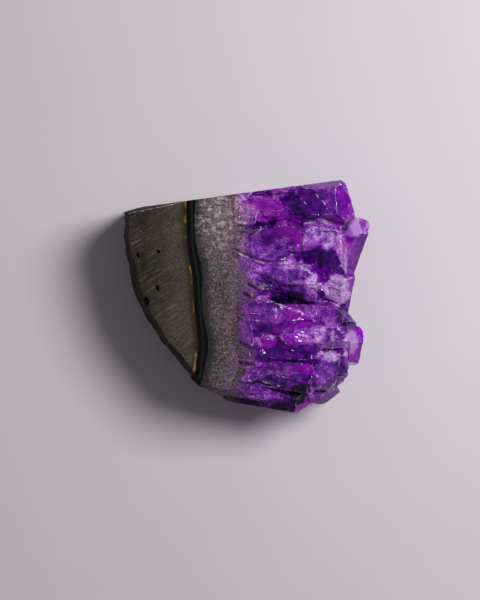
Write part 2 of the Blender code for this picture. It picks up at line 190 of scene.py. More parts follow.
class Finish:
    """One material and the nodes in it."""

    def __init__(self, name):
        self.material = bpy.data.materials.new(name)
        self.material.use_nodes = True
        self.tree = self.material.node_tree
        self.tree.nodes.clear()
        self.place = self.node("ShaderNodeTexCoord", {}, {}, "Object")

    def node(self, kind, settings, sockets, result=0):
        """Adds a node with its settings, then its values or links, and gives one of its results."""
        made = self.tree.nodes.new(kind)
        for name, value in settings.items():
            if name == "stops":
                set_stops(made.color_ramp, value)
            else:
                setattr(made, name, value)
        for name, value in sockets.items():
            if isinstance(value, Field):
                self.tree.links.new(value.socket, made.inputs[name])
            else:
                made.inputs[name].default_value = value
        return Field(self, made.outputs[result])

    def stored(self, name):
        """A number that the mesh keeps at each vertex or face."""
        return self.node("ShaderNodeAttribute", {"attribute_name": name}, {}, "Fac")

    def grain(self, size_mm, detail=2.0, roughness=0.55, place=None):
        """Noise from 0 to 1 whose lumps are about size_mm across."""
        sockets = {"Vector": place or self.place, "Scale": 1 / (size_mm * MM), "Detail": detail}
        sockets["Roughness"] = roughness
        return self.node("ShaderNodeTexNoise", {}, sockets, "Fac")

    def cells(self, size_mm, result="Distance"):
        """Grains of that size: how far it is to the middle of each, or its own colour."""
        sockets = {"Vector": self.place, "Scale": 1 / (size_mm * MM)}
        return self.node("ShaderNodeTexVoronoi", {}, sockets, result)

    def along(self, axis):
        """How far a place lies along an axis, 0 for X, 1 for Y, 2 for Z, in metres."""
        return self.node("ShaderNodeSeparateXYZ", {}, {0: self.place}, axis)

    def stretched(self, x, y, z, turn=0.0):
        """Places turned about the vertical and stretched, for a pattern with a direction."""
        sockets = {"Vector": self.place, "Rotation": (0, 0, turn), "Scale": (x, y, z)}
        return self.node("ShaderNodeMapping", {"vector_type": "TEXTURE"}, sockets)

    def mix(self, factor, first, second):
        """The first colour where factor is 0, the second where it is 1."""
        # The colour sockets of a Mix node share their names with others, so they go by number.
        sockets = {"Factor": factor, 6: rgba(first), 7: rgba(second)}
        settings = {"data_type": "RGBA", "clamp_factor": True}
        return self.node("ShaderNodeMix", settings, sockets, 2)

    def shift(self, colour, saturation, value):
        """The same hue, with its saturation and value multiplied."""
        sockets = {"Saturation": saturation, "Value": value, "Color": rgba(colour)}
        return self.node("ShaderNodeHueSaturation", {}, sockets)

    def bump(self, height, depth_mm, strength):
        """Height from 0 to 1 as relief of that depth."""
        sockets = {"Height": height, "Distance": depth_mm * MM, "Strength": strength}
        return self.node("ShaderNodeBump", {}, sockets)

    def surface(self, **sockets):
        """A Principled shader; its sockets are given by name, with _ for a space."""
        named = {name.replace("_", " "): value for name, value in sockets.items()}
        return self.node("ShaderNodeBsdfPrincipled", {}, named)

    def blend(self, factor, first, second):
        """The first shader where factor is 0, the second where it is 1."""
        return self.node("ShaderNodeMixShader", {}, {0: factor, 1: first, 2: second})

    def done(self, surface, volume=None):
        """Connects the finished shader and gives the material."""
        out = self.tree.nodes.new("ShaderNodeOutputMaterial")
        self.tree.links.new(surface.socket, out.inputs["Surface"])
        if volume:
            self.tree.links.new(volume.socket, out.inputs["Volume"])
        print("finish", self.material.name, "has", len(self.tree.nodes), "nodes")
        return self.material


def rgba(colour):
    """A colour as a socket takes it: red, green, blue and full cover."""
    if isinstance(colour, Field):
        return colour
    return (*colour, 1.0)


def set_stops(ramp, stops):
    """Gives a colour ramp its places and colours, from low to high."""
    (low, low_colour), *between, (high, high_colour) = stops
    ramp.elements[0].position, ramp.elements[0].color = low, rgba(low_colour)
    ramp.elements[1].position, ramp.elements[1].color = high, rgba(high_colour)
    for position, colour in between:
        ramp.elements.new(position).color = rgba(colour)


# %% [markdown]
# ## Floor
# The chunk lies on smooth pale card with a touch of mauve. It isn't part of the object. The
# card shows no fold and no edge, so one flat grid does, and slow noise between two close tones
# keeps it from being a single flat colour.

# %% Floor
FLOOR_REACH = 2.5
CARD_TONES = (0.60, 0.545, 0.59), (0.64, 0.585, 0.63)


def floor_finish():
    card = Finish("pale_card")
    tone = card.grain(40.0, 3.0)
    colour = card.mix(tone, *CARD_TONES)
    return card.done(card.surface(Base_Color=colour, Roughness=0.75))


def make_floor():
    bm = bmesh.new()
    bmesh.ops.create_grid(bm, x_segments=2, y_segments=2, size=FLOOR_REACH)
    mesh = bpy.data.meshes.new("floor")
    bm.to_mesh(mesh)
    bm.free()
    floor = bpy.data.objects.new("floor", mesh)
    bpy.context.scene.collection.objects.link(floor)
    mesh.materials.append(floor_finish())
    return floor


floor = make_floor()

# %% [markdown]
# ## From a plain solid to a surface that can be worked
# Each layer starts as a copy of its solid, with its loose triangles merged. The solids keep a
# small gap between them; on the real stone there is none, so each copy's boundary walls move
# half the gap towards their neighbour. All long edges are then split until the mesh is fine
# enough to carry relief.

# %% Copy, close the gaps, refine
GAP_HALF = 0.16 * MM
NEAR = 0.36 * MM
FACING_COS = 0.7
MERGE_DISTANCE = 1e-7
TREES = {}


def tree_of(node):
    """The surface of a solid of the frame, ready to be asked for its nearest point."""
    if node not in TREES:
        bm = bmesh.new()
        bm.from_mesh(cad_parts[node].data)
        TREES[node] = BVHTree.FromBMesh(bm)
        bm.free()
    return TREES[node]


def copy_solid(node, neighbours):
    """A merged copy of a solid, its walls towards its neighbours marked and moved along X."""
    bm = bmesh.new()
    bm.from_mesh(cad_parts[node].data)
    bmesh.ops.remove_doubles(bm, verts=bm.verts, dist=MERGE_DISTANCE)
    bm.normal_update()
    joint = bm.faces.layers.int.new("joint")
    moves = {}
    for face in bm.faces:
        centre = face.calc_center_median()
        for other in neighbours:
            near, _, _, far = tree_of(other).find_nearest(centre, NEAR)
            if near is not None and (near - centre).normalized().dot(face.normal) > FACING_COS:
                face[joint] = 1
                side = math.copysign(GAP_HALF, face.normal.x)
                moves.update({vert: side for vert in face.verts})
    for vert, side in moves.items():
        vert.co.x += side
    print(node, "faces:", len(bm.faces), "moved to meet a neighbour:", len(moves))
    return bm


SLIVER = 1e-3 * MM * MM
SAME_PLANE = math.radians(0.4)
NO_ANGLE = 9.0
SPLIT_ROUNDS = 7
SHORTEST = 0.002 * MM


def flat_edges(bm):
    """Edges between two faces of one plane, leaving out needle-thin faces."""
    inner = [e for e in bm.edges if len(e.link_faces) == 2]
    flat = [e for e in inner if e.calc_face_angle(NO_ANGLE) < SAME_PLANE]
    return [e for e in flat if min(f.calc_area() for f in e.link_faces) > SLIVER]


def refine(bm, longest, share=lambda face: 1.0):
    """Splits every edge longer than allowed; share(face) may ask for a part of that length."""
    bmesh.ops.triangulate(bm, faces=bm.faces)
    for _ in range(SPLIT_ROUNDS):
        limits = {
            e: longest * min((share(f) for f in e.link_faces), default=1.0) for e in bm.edges
        }
        split = [e for e in bm.edges if e.calc_length() > limits[e]]
        if not split:
            break
        bmesh.ops.subdivide_edges(bm, edges=split, cuts=1)
        bmesh.ops.triangulate(bm, faces=[f for f in bm.faces if len(f.verts) > 3])
        bmesh.ops.beautify_fill(bm, faces=bm.faces, edges=flat_edges(bm))
    bmesh.ops.dissolve_degenerate(bm, dist=SHORTEST, edges=bm.edges)
    bmesh.ops.triangulate(bm, faces=[f for f in bm.faces if len(f.verts) > 3])
    bm.normal_update()
    print("refined to", len(bm.faces), "triangles")


# %% [markdown]
# ## Which faces the saw made
# The upper face, the underside and the two back faces are saw cuts. They could be picked out
# by number, but numbers change with the drawing, so they are found by the way they look. All
# other faces of the three stone layers are natural skin.

# %% Sawn faces
FACE_TILT = math.radians(1.0)
SAWN_WAYS = {
    "top": Vector((-math.sin(FACE_TILT), 0, math.cos(FACE_TILT))),
    "back_of_stone": Vector((-0.2075, 0.978, 0.076)).normalized(),
    "back_of_crystals": Vector((-0.1364, 0.9907, 0.045)).normalized(),
    "bottom": Vector((0, 0, -1)),
}
SAWN_COS = math.cos(math.radians(0.5))


def sawn_side(face):
    """The name of the saw cut that a face belongs to, or None on natural skin."""
    for side, way in SAWN_WAYS.items():
        if face.normal.dot(way) > SAWN_COS:
            return side
    return None


def numbered(seed):
    """A stable number from 0 to 1 that belongs to another number."""
    return random.Random(seed).random()


def store(bm, name, value_at):
    """Writes one number for each vertex, for a finish to read."""
    layer = bm.verts.layers.float.get(name) or bm.verts.layers.float.new(name)
    bm.verts.index_update()
    for vert in bm.verts:
        vert[layer] = value_at(vert)


STONE_EDGE = math.radians(50)


def make_piece(bm, name, node, finish, sharp_angle):
    """Makes the object inside its solid's box, with smooth faces that part at sharp edges."""
    low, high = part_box(node)
    for vert in bm.verts:
        vert.co.y = min(max(vert.co.y, low.y), high.y)
        vert.co.z = min(max(vert.co.z, low.z), high.z)
    bm.normal_update()
    for face in bm.faces:
        face.smooth = True
    for edge in bm.edges:
        edge.smooth = edge.calc_face_angle(0) < sharp_angle
    mesh = bpy.data.meshes.new(name)
    bm.to_mesh(mesh)
    bm.free()
    mesh.materials.append(finish)
    piece = bpy.data.objects.new(name, mesh)
    bpy.context.scene.collection.objects.link(piece)
    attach(piece, "root")
    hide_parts(node)
    print(name, "triangles:", len(mesh.polygons))
    return piece


# %% [markdown]
# ## Stone surfaces
# A sawn face is flat but for shallow saw marks and small pits where grains fell out. Natural
# skin is rough at several scales. A Displace modifier could cut both, but moving the vertices
# in code gives each kind of face its own recipe. Both are cut inwards only, so that the piece
# keeps its size, and the underside stays flat. A vertex between a saw cut and skin moves by
# the mean of the saw's depth and about a third of the skin's.

# %% Working a stone layer
SAW_TURN = math.radians(-35)
SAW_STEP = 3.1
SKIN_AT_EDGE = 0.35


def wave(q, size, shift=(0, 0, 0)):
    """Smooth noise, mostly from -1 to 1, in lumps of about that size; shift moves it."""
    return noise.noise(q / size + Vector(shift))


def skin_depth(place):
    """How far natural skin lies below its envelope, in metres."""
    q = place / MM
    lumps = 0.5 + 0.5 * wave(q, 3.1)
    chips = abs(wave(q, 1.25, (7, 1, 3)))
    grit = 0.5 + 0.5 * wave(q, 0.55)
    return (0.34 * lumps + 0.42 * chips + 0.10 * grit) * MM


def sawn_depth(place):
    """How deep the saw's marks and the pores lie, in metres."""
    q = place / MM
    along = q.x * math.cos(SAW_TURN) + q.y * math.sin(SAW_TURN)
    wander = wave(q, 5.0)
    marks = math.sin(along * SAW_STEP + 2.2 * wander) * (0.5 + 0.5 * wave(q, 3.0))
    pores = max(0.0, wave(q, 0.8, (2, 5, 8)) - 0.45)
    return (0.03 * (1 + marks) + 0.30 * pores) * MM


def work_stone(bm, rough_sawn=1.0):
    """Cuts the relief of a stone layer, and stores where it is sawn and where its back edge is worn
    and gets painted light.
    """
    joint = bm.faces.layers.int["joint"]
    bm.verts.index_update()
    sawn_share, worn, moves = {}, {}, {}
    for vert in bm.verts:
        outer = [f for f in vert.link_faces if not f[joint]]
        if not outer:
            continue
        sides = [sawn_side(f) for f in outer]
        sawn_share[vert.index] = sum(s is not None for s in sides) / len(sides)
        # The edge between the upper face and the back: worn, and given painted light by the finish.
        worn[vert.index] = float({"top", "back_of_stone"} <= set(sides))
        if "bottom" in sides:
            continue
        way = sum((f.normal * f.calc_area() for f in outer), Vector())
        if way.length == 0:
            continue
        depth = sawn_depth(vert.co) * rough_sawn if any(sides) else skin_depth(vert.co)
        if any(sides) and None in sides:
            depth = 0.5 * (depth + SKIN_AT_EDGE * skin_depth(vert.co))
        moves[vert] = -way.normalized() * depth
    for vert, move in moves.items():
        vert.co += move
    store(bm, "sawn", lambda vert: sawn_share.get(vert.index, 0.0))
    store(bm, "worn", lambda vert: worn.get(vert.index, 0.0))
    print("points on the rubbed edge with painted light:", int(sum(worn.values())))


def distances(bm, name, node):
    """Stores how far each vertex lies from another layer, in millimetres."""
    tree = tree_of(node)
    store(bm, name, lambda vert: tree.find_nearest(vert.co)[3] / MM)


# %% [markdown]
# ## Basalt
# Fine-grained grey-olive rock. The saw left pale slanting scratches on its upper face, and a
# few gas bubbles were cut open. Next to the rim it is stained by rust, with a golden streak.
# All this could be a picture laid on the stone, but it would smear on the sides. So the finish
# mixes two tones of dark olive, adds the scratches only where a face is sawn, and stains by
# the stored distance from the rim. The bubbles are not cut into the mesh; their dark middles
# are painted shade. The back edge of the upper face is painted pale, partly as wear and partly
# as painted light.

# %% Basalt
BASALT_TONES = {
    "dark": (0.011, 0.0078, 0.0052),
    "olive": (0.026, 0.0195, 0.0130),
    "pale grain": (0.080, 0.064, 0.046),
    "black grit": (0.010, 0.008, 0.006),
    "scratch": (0.16, 0.137, 0.104),
    "fine_speckle": (0.13, 0.112, 0.085),
    "skin": (0.021, 0.0155, 0.0115),
    "dusty skin": (0.085, 0.070, 0.052),
    # The bubble tone is painted shade for the dark of the cut-open bubble hollows.
    "bubble": (0.004, 0.003, 0.0025),
    # Pale back edge: partly wear, partly painted light along the lit edge.
    "rubbed edge with painted light": (0.48, 0.44, 0.38),
    "stain": (0.030, 0.019, 0.008),
    "deep stain": (0.008, 0.005, 0.003),
    "gold": (0.36, 0.19, 0.035),
}
SCRATCH_TURN = math.radians(-57)

# The gas bubbles cut open by the saw: place and reach on the plan, in millimetres.
BUBBLES = [(-24.0, -1.3, 1.35), (-21.2, 2.0, 0.85), (-26.2, 10.2, 0.7), (-21.0, 11.0, 0.6)]
BUBBLE_MIDDLE = 1.6
BUBBLE_LEVEL = 22.0


def bubble_at(vert):
    """Highest in the middle of a bubble near the upper face, and 0 beyond its reach."""
    q = to_plan(vert.co)
    reached = min(math.hypot(q.x - x, q.y - y) / reach for x, y, reach in BUBBLES)
    return max(0.0, BUBBLE_MIDDLE - BUBBLE_MIDDLE * reached) if q.z > BUBBLE_LEVEL else 0.0


def basalt_finish():
    rock, tones = Finish("basalt_finish"), BASALT_TONES
    sawn = rock.stored("sawn").span(0.4, 0.9)
    rim = rock.stored("from_rim")
    blotch = rock.grain(9.0, 3.0)
    fine = rock.grain(0.36, 4.0, 0.75)
    grit = rock.cells(0.42)
    colour = rock.mix(blotch.span(0.35, 0.65), tones["dark"], tones["olive"])
    colour = rock.mix(fine.span(0.48, 0.75) * 0.6, colour, tones["pale grain"])
    colour = rock.mix(grit.span(0.22, 0.05) * 0.55, colour, tones["black grit"])

    streaks = rock.grain(2.4, 3.0, 0.75, place=rock.stretched(0.13, 4.5, 1.0, SCRATCH_TURN))
    broken = rock.grain(2.2, 3.0).span(0.36, 0.62)
    scratches = streaks.span(0.50, 0.66) * broken * sawn
    colour = rock.mix(scratches * 0.75, colour, tones["scratch"])
    # The sawn face gets paler towards the right, in a fine speckle.
    right = rock.along(0).span(-0.026, -0.017)
    fine_speckle = rock.grain(0.26, 3.0, 0.8).span(0.38, 0.64)
    colour = rock.mix(right * sawn * fine_speckle * 0.6, colour, tones["fine_speckle"])
    colour = rock.mix((1 - sawn) * 0.7, colour, tones["skin"])
    dusty = (1 - sawn) * fine_speckle * blotch.span(0.35, 0.6)
    colour = rock.mix(dusty * 0.5, colour, tones["dusty skin"])
    # Painted shade in the cut-open bubbles, which are not cut into the mesh.
    bubble = rock.stored("bubble").span(0.25, 0.8)
    colour = rock.mix(bubble * 0.9, colour, tones["bubble"])
    # The back edge of the upper face is painted pale: partly wear, partly painted light.
    worn = rock.stored("worn").span(0.05, 0.6) * rock.grain(1.6).span(0.3, 0.5)
    colour = rock.mix(worn * 0.9, colour, tones["rubbed edge with painted light"])

    wander = (rock.grain(2.6, 2.0) - 0.5) * 1.1
    seam = (rim + wander).span(1.9, 0.5)
    colour = rock.mix(seam * 0.9, colour, tones["stain"])
    colour = rock.mix(seam * fine.span(0.55, 0.38) * 0.8, colour, tones["deep stain"])
    patches = rock.grain(5.5, 2.0).span(0.50, 0.66)
    gold = (rim + wander * 0.7).span(1.05, 0.3) * patches
    colour = rock.mix(gold * 0.9, colour, tones["gold"])

    height = fine * 0.5 + grit.span(0.0, 0.4) * 0.4 + scratches * 0.35
    relief = rock.bump(height, 0.22, 0.9)
    roughness = fine.span(0.3, 0.7, 0.66, 0.9)
    stone = rock.surface(
        Base_Color=colour, Roughness=roughness, Normal=relief, Specular_IOR_Level=0.15
    )
    return rock.done(stone)


bm = copy_solid("basalt_matrix", ["dark_rim"])
refine(bm, longest=0.62 * MM)
distances(bm, "from_rim", "dark_rim")
work_stone(bm)
store(bm, "bubble", bubble_at)
make_piece(bm, "basalt_with_sawn_face", "basalt_matrix", basalt_finish(), STONE_EDGE)

# %% [markdown]
# ## Dark rim
# The first mineral that lined the hollow: a black-green skin with one thin lighter line in it.
# The line could be a strip of mesh of its own. Here it follows the stored distance from the
# basalt, so it stays parallel to that boundary on every side.

# %% Dark rim
RIM_TONES = {
    "black": (0.0014, 0.0014, 0.0012),
    "green black": (0.0045, 0.0050, 0.0044),
    "line": (0.022, 0.030, 0.029),
    "rust": (0.05, 0.028, 0.010),
}


def rim_finish():
    skin, tones = Finish("dark_rim_finish"), RIM_TONES
    basalt_side = skin.stored("from_basalt")
    fine = skin.grain(0.45, 3.0, 0.7)
    wander = (skin.grain(1.8, 2.0) - 0.5) * 0.6
    line = (basalt_side + wander).span(1.15, 1.45) * (basalt_side + wander).span(1.95, 1.55)
    colour = skin.mix(fine.span(0.4, 0.7), tones["black"], tones["green black"])
    colour = skin.mix(line * 0.4, colour, tones["line"])
    rust = (basalt_side + wander * 0.5).span(0.35, 0.05)
    colour = skin.mix(rust * 0.7, colour, tones["rust"])
    relief = skin.bump(fine, 0.15, 0.8)
    roughness = fine.span(0.3, 0.7, 0.5, 0.8)
    stone = skin.surface(
        Base_Color=colour, Roughness=roughness, Normal=relief, Specular_IOR_Level=0.05
    )
    return skin.done(stone)


bm = copy_solid("dark_rim", ["basalt_matrix", "quartz_band"])
refine(bm, longest=0.5 * MM)
distances(bm, "from_basalt", "basalt_matrix")
work_stone(bm)
make_piece(bm, "dark_rim_layer", "dark_rim", rim_finish(), STONE_EDGE)

# %% [markdown]
# ## Grey quartz
# Next to the rim the quartz is fine, blue-grey and finely striped along its growth. Further
# out it is coarse and pale, and at the back it is almost white. Bands of separate meshes would
# show hard joints, so one finish runs from one to the next by the stored distances from the
# rim and from the crystals. Grains stand a little proud of each other, so the sawn face gets
# more relief than the basalt's.

# %% Quartz band
QUARTZ_TONES = {
    "by the rim": (0.010, 0.0095, 0.010),
    "grey": (0.062, 0.044, 0.048),
    "by the crystals": (0.110, 0.072, 0.085),
    "at the back": (0.27, 0.20, 0.215),
    "pale grain": (0.34, 0.27, 0.28),
    "dark": (0.014, 0.0095, 0.011),
    "dark at the back": (0.075, 0.052, 0.058),
    "stripe": (0.006, 0.006, 0.006),
    "glitter": (0.42, 0.33, 0.36),
    "white": (0.56, 0.46, 0.48),
    "violet": (0.15, 0.050, 0.19),
    "shade": (0.008, 0.008, 0.009),
    "vein": (0.014, 0.011, 0.012),
}


def quartz_finish():
    band, tones = Finish("grey_quartz_finish"), QUARTZ_TONES
    rim_side = band.stored("from_rim")
    crystal_side = band.stored("from_crystals")
    wander = (band.grain(2.0, 3.0) - 0.5) * 2.2
    fine = band.grain(0.42, 4.0, 0.75)
    grains = band.cells(0.75, "Color")
    grain_tone = band.node("ShaderNodeSeparateColor", {}, {0: grains}, 0)
    back = band.along(1).span(0.002, 0.026)

    outwards = (rim_side + wander * 0.4).span(0.2, 2.6)
    colour = band.mix(outwards, tones["by the rim"], tones["grey"])
    colour = band.mix((crystal_side + wander).span(3.4, 0.4), colour, tones["by the crystals"])
    colour = band.mix(back * 0.6, colour, tones["at the back"])
    colour = band.mix(grain_tone.span(0.6, 1.0) * 0.22, colour, tones["pale grain"])
    dark = band.mix(back * 0.6, tones["dark"], tones["dark at the back"])
    mottle = band.grain(2.2, 3.0, 0.6)
    light = band.shift(colour, 0.95, mottle.span(0.3, 0.7, 0.85, 1.9))
    colour = band.mix(fine.span(0.44, 0.56), dark, light)
    stripes = band.grain(0.9, 2.0, 0.5, place=band.stretched(9.0, 0.45, 3.0))
    near_rim = (rim_side + wander * 0.5).span(4.2, 0.6)
    colour = band.mix(stripes.span(0.47, 0.60) * near_rim * 0.7, colour, tones["stripe"])
    glitter = band.grain(0.30, 2.0, 0.6).span(0.58, 0.68) * (rim_side + wander).span(0.6, 3.6)
    colour = band.mix(glitter * 0.6, colour, tones["glitter"])
    white = back * band.grain(1.3, 3.0, 0.6).span(0.52, 0.62)
    colour = band.mix(white * 0.8, colour, tones["white"])
    tint = band.grain(1.7, 3.0, 0.6).span(0.46, 0.62)
    violet = (crystal_side + wander).span(3.4, 0.2) * tint
    colour = band.mix(violet * 0.75, colour, tones["violet"])
    shade = (rim_side + wander * 0.35).span(2.6, 0.3)
    colour = band.mix(shade * 0.8, colour, tones["shade"])
    veins = band.grain(0.8, 3.0, 0.6, place=band.stretched(5.0, 0.7, 3.0)).span(0.54, 0.64)
    colour = band.mix(veins * 0.55, colour, tones["vein"])
    height = grain_tone * 0.5 + fine * 0.6
    relief = band.bump(height, 0.30, 0.9)
    roughness = fine.span(0.3, 0.7, 0.35, 0.65)
    stone = band.surface(
        Base_Color=colour, Roughness=roughness, Normal=relief, Specular_IOR_Level=0.25
    )
    return band.done(stone)


bm = copy_solid("quartz_band", ["dark_rim", "amethyst_crystals"])
refine(bm, longest=0.5 * MM)
distances(bm, "from_rim", "dark_rim")
distances(bm, "from_crystals", "amethyst_crystals")
work_stone(bm, rough_sawn=2.5)
make_piece(bm, "grey_quartz_layer", "quartz_band", quartz_finish(), STONE_EDGE)

# %% [markdown]
# ## Amethyst: facets first
# The crystals are one solid with flat faces. Before it is refined, faces that lie in one plane
# are numbered as one facet, so that each facet can have its own tone: in the real cluster a
# facet looks dark or light by what it mirrors and by what lies behind it. Facets that look
# almost straight up are where crystals broke off, and are rough and frosted.

# %% Numbering the facets
FLAT = math.radians(0.6)
BROKEN_COS = math.cos(math.radians(9.0))


def number_facets(bm):
    """Gives each group of coplanar faces that touch one number."""
    facet = bm.faces.layers.int.new("facet_number")
    facets = []
    for face in bm.faces:
        face.tag = False
    for first in bm.faces:
        if first.tag:
            continue
        first.tag = True
        group, search = [], [first]
        while search:
            face = search.pop()
            face[facet] = len(facets)
            group.append(face)
            for edge in face.edges:
                if len(edge.link_faces) == 2 and edge.calc_face_angle(NO_ANGLE) < FLAT:
                    for near in edge.link_faces:
                        if not near.tag:
                            near.tag = True
                            search.append(near)
        area = sum(f.calc_area() for f in group)
        way = max(group, key=lambda f: f.calc_area()).normal.copy()
        facets.append((area, way))
    print("facets:", len(facets))
    return facet, facets


# %% [markdown]
# ## Amethyst: looks of the crystals seen from above
# Each crystal that shows from above has its own tone, from black-violet (0) to pale lavender
# (1), its own share of frosted surface and its own lean towards magenta. They could be painted
# on by hand, but a list of places can be read and changed. The others take theirs from their
# facets' numbers, and noise bends the borders between the places. Two places paint light and
# shade instead of colour: the right face of the back block is painted lighter where it turns to
# the key light, and the hollow in front of the third crystal is painted shade.

# %% Looks by crystal
# Name, place and reach on the plan in millimetres, tone, frost, magenta.
LOOKS = [
    ("back block, left face", 15.0, 22.4, 6.6, 4.6, 0.30, 0.0, 0.0),
    # The right face of the back block is painted lighter: painted light where it turns to the key
    # light.
    ("back block, right face, painted light", 24.0, 23.0, 3.4, 5.4, 0.50, 0.20, 0.1),
    ("back strip", 4.0, 26.0, 6.0, 1.8, 0.42, 0.35, 0.8),
    ("back left", 5.0, 21.6, 7.0, 3.2, 0.48, 0.35, 0.9),
    ("root of back left", -1.4, 22.6, 3.6, 4.2, 1.30, 1.0, 0.4),
    ("root of second", -2.4, 14.4, 2.8, 3.2, 0.95, 0.95, 0.2),
    ("root of fourth", -0.4, -5.2, 2.2, 2.6, 0.72, 0.85, 0.9),
    ("back lens", 20.2, 18.2, 4.4, 1.2, 0.72, 0.5, 0.7),
    ("second, left", 5.0, 12.0, 9.0, 4.6, 0.36, 0.60, 0.2),
    ("second, clean face", 6.8, 15.2, 2.2, 2.6, 0.20, 0.0, 0.1),
    ("second, frosted top", 20.0, 15.2, 5.6, 3.0, 0.86, 1.0, 0.0),
    ("second, dark front", 20.0, 8.8, 5.6, 3.6, 0.26, 0.0, 0.1),
    ("deep back tip", 28.2, 17.4, 2.2, 3.0, 1.25, 0.30, 0.2),
    ("deep back", 27.4, 9.0, 2.4, 5.6, 0.74, 0.12, 0.2),
    ("third", 9.0, 4.0, 7.0, 4.0, 0.28, 0.75, 0.2),
    ("third, pale end", 17.4, 3.2, 2.2, 3.2, 1.05, 1.0, 0.0),
    ("third, pale shoulder", 13.0, 7.6, 5.0, 1.1, 0.84, 0.85, 0.1),
    # Painted shade: the hollow in front of the third crystal is painted almost black.
    ("hollow, painted shade", 11.4, -0.8, 5.0, 1.8, 0.02, 0.0, 0.0),
    ("middle pale", 24.0, 1.6, 3.8, 4.4, 1.30, 0.60, 0.1),
    ("fourth, left", 5.0, -4.6, 6.2, 3.4, 0.36, 0.55, 0.7),
    ("fourth, right", 18.6, -3.4, 4.4, 2.6, 0.56, 0.50, 0.0),
    ("fourth, tip", 25.2, -5.0, 2.6, 3.0, 0.20, 0.65, 0.1),
    ("top prism, end", 11.4, -9.8, 4.6, 3.0, 0.72, 0.10, 0.0),
    ("top prism", 17.4, -9.6, 4.2, 2.8, 0.76, 0.50, 0.1),
    ("deep front", 27.4, -12.6, 2.6, 4.4, 1.35, 0.35, 0.2),
    ("fifth", 8.0, -14.8, 8.6, 2.4, 0.24, 0.20, 0.2),
    ("sixth, left", 8.0, -19.6, 7.4, 3.0, 0.32, 0.60, 0.6),
    ("sixth, root", -0.4, -18.4, 3.4, 3.6, 0.70, 0.75, 0.5),
    ("sixth, right", 20.4, -18.6, 3.4, 3.8, 0.55, 0.45, 0.0),
    ("sixth, glittering edge", 21.4, -14.8, 3.6, 1.8, 1.10, 1.0, 0.0),
    ("sixth, dark end", 24.8, -20.0, 1.6, 3.4, 0.16, 0.60, 0.1),
    ("front left", 5.0, -24.0, 7.0, 3.6, 0.36, 0.75, 0.6),
    ("front left, dark face", 13.8, -24.4, 2.6, 2.8, -0.2, 0.5, 0.0),
    ("front right", 19.4, -24.8, 3.2, 1.8, 0.56, 0.5, 0.1),
]
LOOK_DEPTH = 16.0
UNLISTED = Vector((0.4, 0.3, 0.3))


def looks_at(q):
    """Tone, frost and magenta at a place on the plan, and how strongly the list rules there."""
    q = q + 0.9 * noise.noise_vector(q / 2.4) + 0.35 * noise.noise_vector(q / 0.8)
    total, weight, strongest = Vector(), 0.0, 0.0
    for _, x, y, reach_x, reach_y, tone, frost, magenta in LOOKS:
        far = math.hypot((q.x - x) / reach_x, (q.y - y) / reach_y)
        if far < 1.6:
            share = math.exp(-2.0 * far ** 8) + 1e-6
            total += share * Vector((tone, frost, magenta))
            weight += share
            strongest = max(strongest, share)
    if weight == 0:
        return UNLISTED, 0.0
    return total / weight, strongest


print("places with a look of their own:", len(LOOKS))


# %% [markdown]
# ## Amethyst: seams between crystals
# Where two crystals met as they grew there is either a thin dark groove or a thin pale suture
# of milky quartz. These lines run across the flat tops. Noise could draw them anywhere, but
# the larger ones are part of the likeness, so they are given as points on the plan, with
# their half width. Grooves are also cut into the surface, and their dark is painted shade.
# Some of the pale lines are painted highlights rather than sutures: three short glints on the
# back block, and lines along the ridge of the fourth crystal and the glittering edge of the sixth.

# %% Grooves with painted shade, pale sutures and painted glints
# Grooves between crystals: cut into the surface, and painted dark as painted shade.
GROOVES = [
    (0.45, [(12.0, 21.0), (12.6, 19.2), (16.2, 18.8), (19.2, 19.2), (22.2, 18.4), (24.8, 17.6)]),
    (0.45, [(-2.6, 17.6), (1.8, 17.0), (6.2, 17.6), (10.4, 18.6), (14.2, 17.8)]),
    (0.40, [(14.2, 17.8), (15.0, 15.2), (14.2, 11.6), (15.2, 8.4), (14.8, 4.6)]),
    (0.35, [(-2.0, 11.6), (1.8, 9.6), (6.2, 8.4), (10.6, 8.4), (14.2, 7.0)]),
    (0.40, [(1.6, 2.6), (4.8, 0.8), (9.2, 1.2)]),
    (0.45, [(-4.0, 10.0), (-1.6, 9.6)]),
    (0.45, [(0.2, 0.4), (2.4, -0.6)]),
    (0.50, [(-0.8, -11.6), (2.2, -13.2), (5.0, -13.4)]),
    (0.40, [(8.4, -8.8), (9.4, -7.0), (14.2, -6.6), (19.8, -6.8)]),
    (0.40, [(8.4, -8.8), (8.2, -11.2), (10.4, -13.0), (14.2, -13.8), (20.4, -13.6)]),
    (0.40, [(-0.8, -16.6), (4.8, -17.6), (10.6, -18.0), (17.2, -18.6)]),
    (0.45, [(-0.8, -21.4), (3.8, -21.9), (8.8, -23.4), (11.8, -24.2)]),
    (0.40, [(17.8, -13.6), (18.0, -17.4), (17.6, -23.2)]),
    (0.35, [(16.2, -22.2), (16.4, -26.6)]),
    (0.45, [(20.6, 5.4), (18.8, 3.4), (19.6, 1.2), (19.6, -1.0)]),
    (0.35, [(20.4, -1.0), (23.4, -2.4), (26.4, -2.8)]),
    (0.30, [(5.2, 26.2), (7.4, 24.0), (9.8, 23.2)]),
    (0.30, [(24.6, -14.0), (25.0, -18.0), (23.4, -23.4)]),
]
